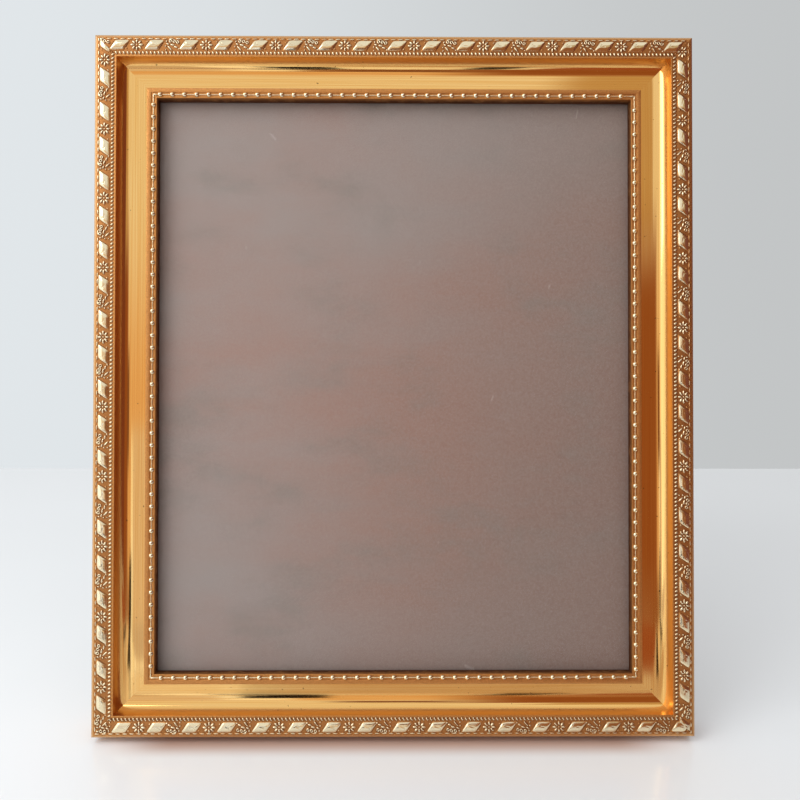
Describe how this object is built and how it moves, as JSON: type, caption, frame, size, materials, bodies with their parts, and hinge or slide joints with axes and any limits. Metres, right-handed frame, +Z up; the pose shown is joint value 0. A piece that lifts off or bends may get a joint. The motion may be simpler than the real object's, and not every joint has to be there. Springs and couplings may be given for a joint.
{
  "type": "picture frame",
  "caption": "Gilt ornamental picture frame for a portrait-format picture, leaning on a folding easel strut, with glass, backing board, turn buttons and hanging rings.",
  "frame": {"origin": "on the table, under the middle of the standing part's outline", "axes": "+Z up along the longest extent; the picture faces -Y and the frame leans back towards +Y"},
  "size_m": [0.303, 0.1024, 0.352],
  "materials": {
    "gilt_moulding": "satin gold foil over pressed ornament",
    "clear_glass": "polished",
    "mottled_card": "matt mottled grey-brown card",
    "grey_board": "matt grey board",
    "fibreboard": "smooth fibreboard",
    "dark_board": "board covered with dark embossed paper",
    "brassed_steel": "brass plated, satin",
    "bright_steel": "zinc plated",
    "ribbon_weave": "plain woven ribbon"
  },
  "bodies": {
    "frame": {"top_rail": "gilt_moulding", "bottom_rail": "gilt_moulding", "left_rail": "gilt_moulding", "right_rail": "gilt_moulding", "corner_v_nails": "bright_steel", "glass_pane": "clear_glass", "picture_card": "mottled_card", "filler_card": "grey_board", "backing_board": "fibreboard", "turn_button_screws": "bright_steel", "strut_hinge_fixed_leaf": "brassed_steel", "strut_hinge_pin": "bright_steel", "strut_hinge_board_rivets": "brassed_steel", "stay_ribbon": "ribbon_weave", "ribbon_board_rivet": "brassed_steel", "hanger_strap_portrait": "brassed_steel", "hanger_strap_landscape": "brassed_steel", "hanger_rivets": "brassed_steel"},
    "strut": {"strut_leg": "dark_board", "strut_hinge_moving_leaf": "brassed_steel", "strut_hinge_leg_rivets": "brassed_steel", "ribbon_strut_rivet": "brassed_steel"},
    "turn_button_top_left": {"turn_button_top_left": "bright_steel"},
    "turn_button_top_right": {"turn_button_top_right": "bright_steel"},
    "turn_button_bottom_left": {"turn_button_bottom_left": "bright_steel"},
    "turn_button_bottom_right": {"turn_button_bottom_right": "bright_steel"},
    "turn_button_left": {"turn_button_left": "bright_steel"},
    "turn_button_right": {"turn_button_right": "bright_steel"},
    "hanger_ring_portrait": {"hanger_ring_portrait": "bright_steel"},
    "hanger_ring_landscape": {"hanger_ring_landscape": "bright_steel"}
  },
  "joints": [
    {"name": "strut_fold", "type": "hinge", "parent": "frame", "child": "strut", "pos_m": [0, 0.01279, 0.22812], "axis": [-1, 0, 0], "range_deg": [0, 18], "deforming": ["stay_ribbon"]},
    {"name": "turn_button_top_left_swivel", "type": "hinge", "parent": "frame", "child": "turn_button_top_left", "pos_m": [-0.07, 0.02993, 0.33452], "axis": [0, 0.9848, -0.1736], "range_deg": [-90, 90]},
    {"name": "turn_button_top_right_swivel", "type": "hinge", "parent": "frame", "child": "turn_button_top_right", "pos_m": [0.07, 0.02993, 0.33452], "axis": [0, 0.9848, -0.1736], "range_deg": [-90, 90]},
    {"name": "turn_button_bottom_left_swivel", "type": "hinge", "parent": "frame", "child": "turn_button_bottom_left", "pos_m": [-0.07, -0.02665, 0.01367], "axis": [0, 0.9848, -0.1736], "range_deg": [-90, 90]},
    {"name": "turn_button_bottom_right_swivel", "type": "hinge", "parent": "frame", "child": "turn_button_bottom_right", "pos_m": [0.07, -0.02665, 0.01367], "axis": [0, 0.9848, -0.1736], "range_deg": [-90, 90]},
    {"name": "turn_button_left_swivel", "type": "hinge", "parent": "frame", "child": "turn_button_left", "pos_m": [-0.1375, 0.00164, 0.17409], "axis": [0, 0.9848, -0.1736], "range_deg": [-90, 90]},
    {"name": "turn_button_right_swivel", "type": "hinge", "parent": "frame", "child": "turn_button_right", "pos_m": [0.1375, 0.00164, 0.17409], "axis": [0, 0.9848, -0.1736], "range_deg": [-90, 90]},
    {"name": "hanger_ring_portrait_swing", "type": "hinge", "parent": "frame", "child": "hanger_ring_portrait", "pos_m": [0, 0.02277, 0.28932], "axis": [1, 0, 0], "range_deg": [-4, 166]},
    {"name": "hanger_ring_landscape_swing", "type": "hinge", "parent": "frame", "child": "hanger_ring_landscape", "pos_m": [-0.09175, 0.00243, 0.17395], "axis": [0, 0.1736, 0.9848], "range_deg": [-80, 86]}
  ]
}
